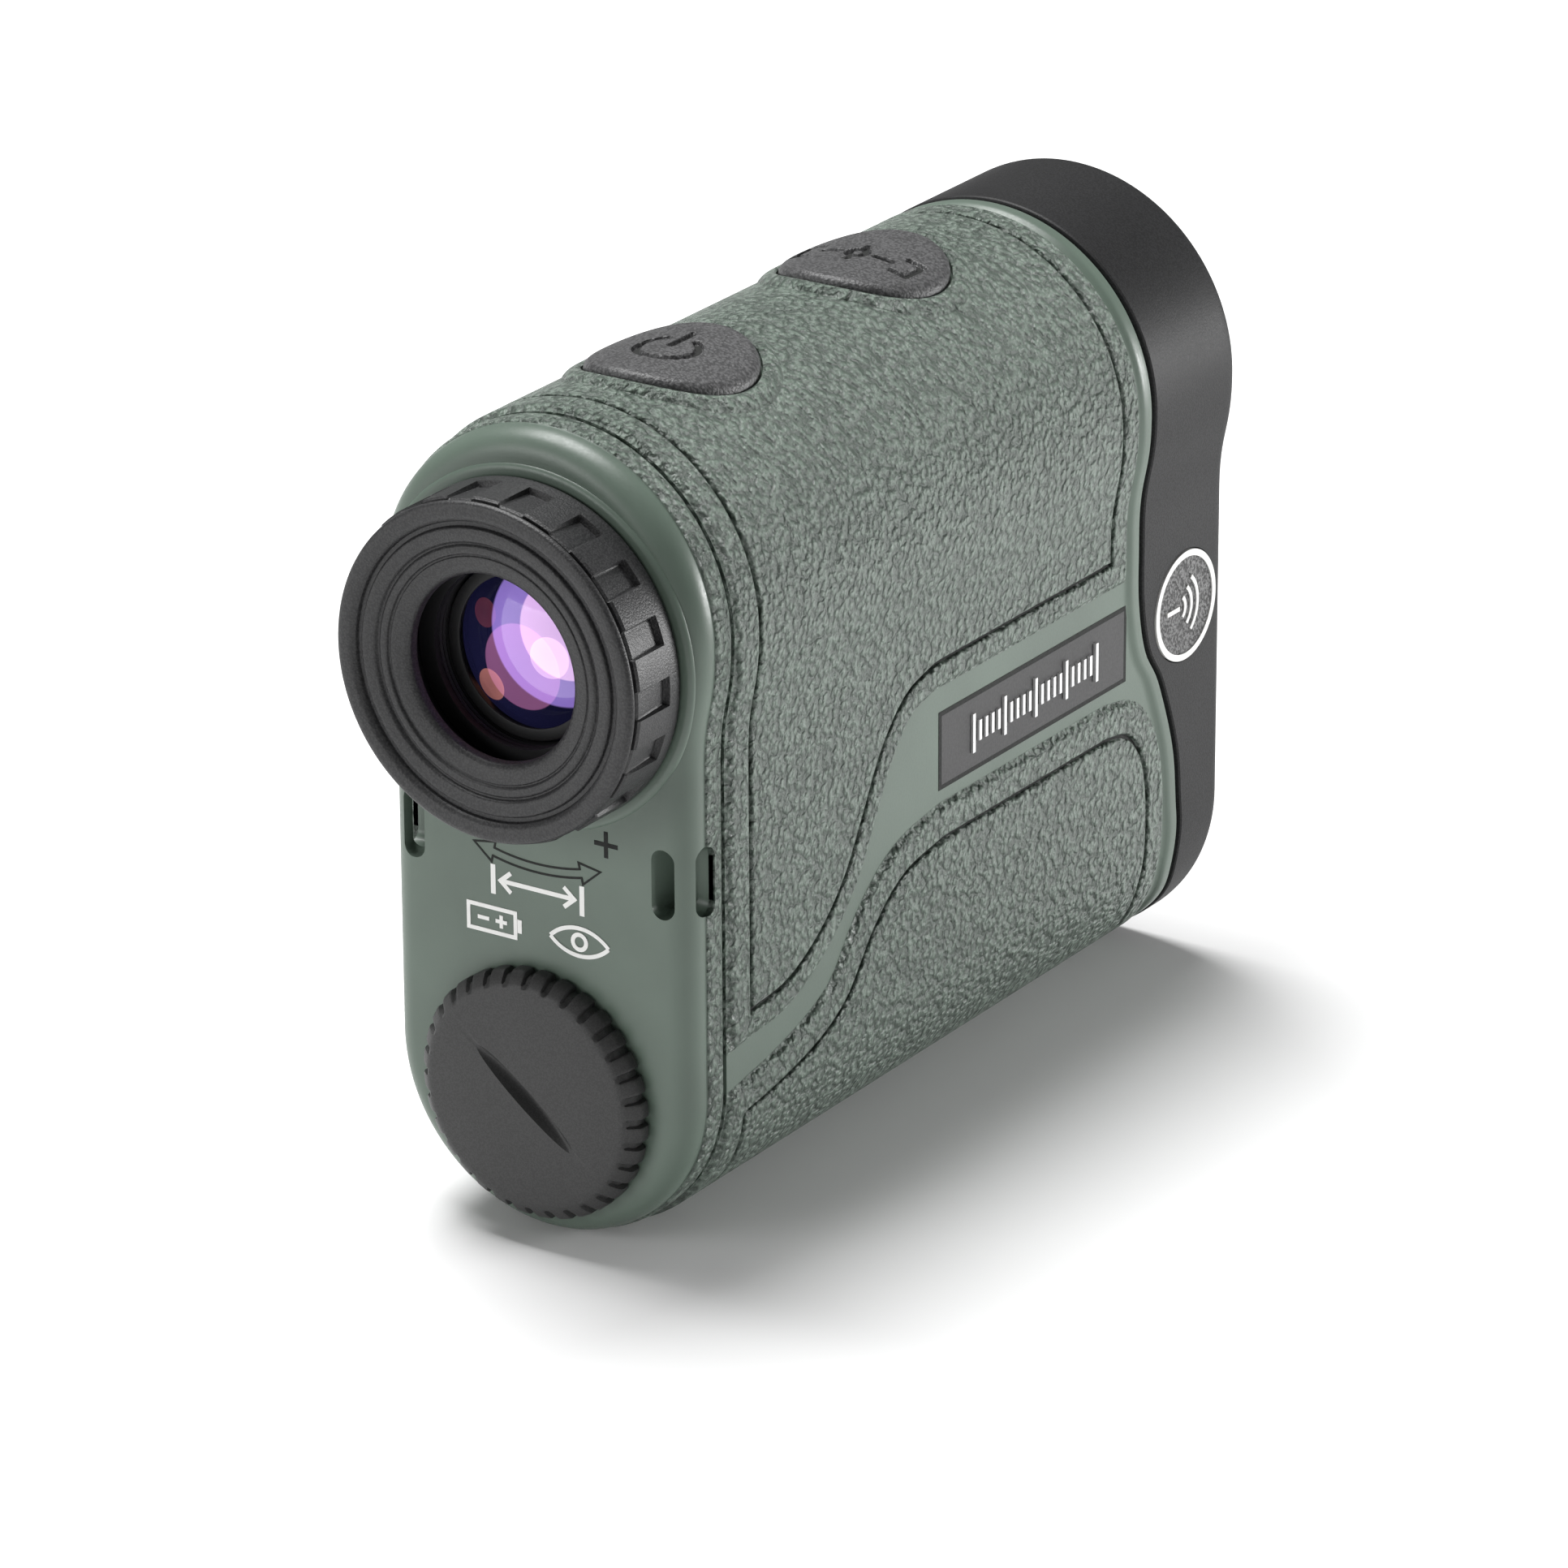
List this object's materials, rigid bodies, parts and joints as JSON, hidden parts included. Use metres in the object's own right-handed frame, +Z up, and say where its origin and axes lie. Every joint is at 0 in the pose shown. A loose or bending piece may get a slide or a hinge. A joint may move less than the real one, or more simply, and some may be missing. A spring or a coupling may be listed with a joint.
{
  "type": "laser rangefinder",
  "caption": "Handheld monocular laser rangefinder with a focusing eyepiece, round push buttons on top and a screw-in battery cap",
  "frame": {"origin": "middle of the part's underside, below the optical axis: halfway along its length and across its width, at the lowest line of the belly", "axes": "+Y is the optical axis towards the target, +Z is up through the buttons, +X is to the user's right"},
  "size_m": [0.0354, 0.0962, 0.0772],
  "materials": {
    "armour_green": "pebbled grey-green rubber skin",
    "shell_green": "satin grey-green paint",
    "bezel_black": "fine-grained satin black",
    "rubber_black": "fine-grained black rubber",
    "plate_black": "satin black plate",
    "badge": "black field with a white printed ring",
    "black_alloy": "black anodised",
    "cap_black": "fine-grained dark grey",
    "steel": "plain",
    "brass": "plain",
    "coated_glass": "violet anti-reflection coating",
    "clear_glass": "polished",
    "inner_plastic": "black moulded",
    "board": "green circuit board",
    "chip": "black moulded package",
    "cell_wrap": "printed wrap on a metal can"
  },
  "bodies": {
    "body": {"main_body": "armour_green", "upper_armour": "armour_green", "lower_armour": "armour_green", "rear_cover": "shell_green", "front_bezel": "bezel_black", "nameplate_right": "plate_black", "nameplate_left": "plate_black", "badge_right": "badge", "badge_left": "badge", "eyepiece_tube": "black_alloy", "lcd_panel": "clear_glass", "prism_housing": "black_alloy", "half_penta_prism": "clear_glass", "roof_prism": "clear_glass", "apd_detector": "steel", "objective_cell": "black_alloy", "objective_rear_lens": "clear_glass", "objective_front_lens": "coated_glass", "objective_retainer": "black_alloy", "laser_barrel": "black_alloy", "laser_lens": "coated_glass", "laser_retainer": "black_alloy", "laser_diode": "brass", "rear_bulkhead": "inner_plastic", "front_bulkhead": "inner_plastic", "chassis_plate": "inner_plastic", "rear_seal": "rubber_black", "front_seal": "rubber_black", "cover_screw_1": "steel", "cover_screw_2": "steel", "cover_screw_3": "steel", "cover_screw_4": "steel", "main_pcb": "board", "processor_chip": "chip", "boost_inductor": "chip", "board_screw_rear": "steel", "board_screw_front": "steel", "button_pcb": "board", "power_switch": "chip", "mode_switch": "chip", "battery_tube": "inner_plastic", "battery_contact": "brass"},
    "diopter": {"diopter_ring": "rubber_black", "eyecup": "rubber_black"},
    "ocular": {"ocular_cell": "black_alloy", "eye_lens": "coated_glass", "field_lens": "clear_glass", "ocular_retainer": "black_alloy", "field_retainer": "black_alloy"},
    "power": {"power_button": "rubber_black"},
    "mode": {"mode_button": "rubber_black"},
    "cap_ring": {"cap_seal": "rubber_black"},
    "cap_core": {"cap_contact": "brass", "cap_spring": "steel"},
    "cap": {"battery_cap": "cap_black"},
    "cell": {"battery": "cell_wrap"}
  },
  "joints": [
    {"name": "diopter_turn", "type": "hinge", "parent": "body", "child": "diopter", "pos_m": [0, -0.0444, 0.056], "axis": [0, 1, 0], "range_deg": [-60, 60]},
    {"name": "ocular_focus", "type": "slide", "parent": "body", "child": "ocular", "axis": [0, 1, 0], "range_m": [-0.0013, 0.0013]},
    {"name": "power_press", "type": "slide", "parent": "body", "child": "power", "axis": [0, 0, -1], "range_m": [0, 0.0008], "stiffness_N_per_m": 400, "springref_m": -0.0008},
    {"name": "mode_press", "type": "slide", "parent": "body", "child": "mode", "axis": [0, 0, -1], "range_m": [0, 0.0008], "stiffness_N_per_m": 400, "springref_m": -0.0008},
    {"name": "cap_lift", "type": "slide", "parent": "body", "child": "cap_ring", "axis": [0, -1, 0], "range_m": [0, 0.08]},
    {"name": "cap_thread", "type": "slide", "parent": "cap_ring", "child": "cap_core", "axis": [0, -1, 0], "range_m": [0, 0.0046]},
    {"name": "cap_turn", "type": "hinge", "parent": "cap_core", "child": "cap", "pos_m": [0, -0.0429, 0.0145], "axis": [0, -1, 0], "range_deg": [0, 1080]},
    {"name": "battery_slide", "type": "slide", "parent": "body", "child": "cell", "axis": [0, -1, 0], "range_m": [0, 0.0405]}
  ],
  "couplings": [
    {"joint": "ocular_focus", "follows": "diopter_turn", "m_per_rad": 0.0012},
    {"joint": "cap_thread", "follows": "cap_turn", "m_per_rad": 0.00024},
    {"joint": "battery_slide", "follows": "cap_lift", "ratio": 0.5}
  ]
}
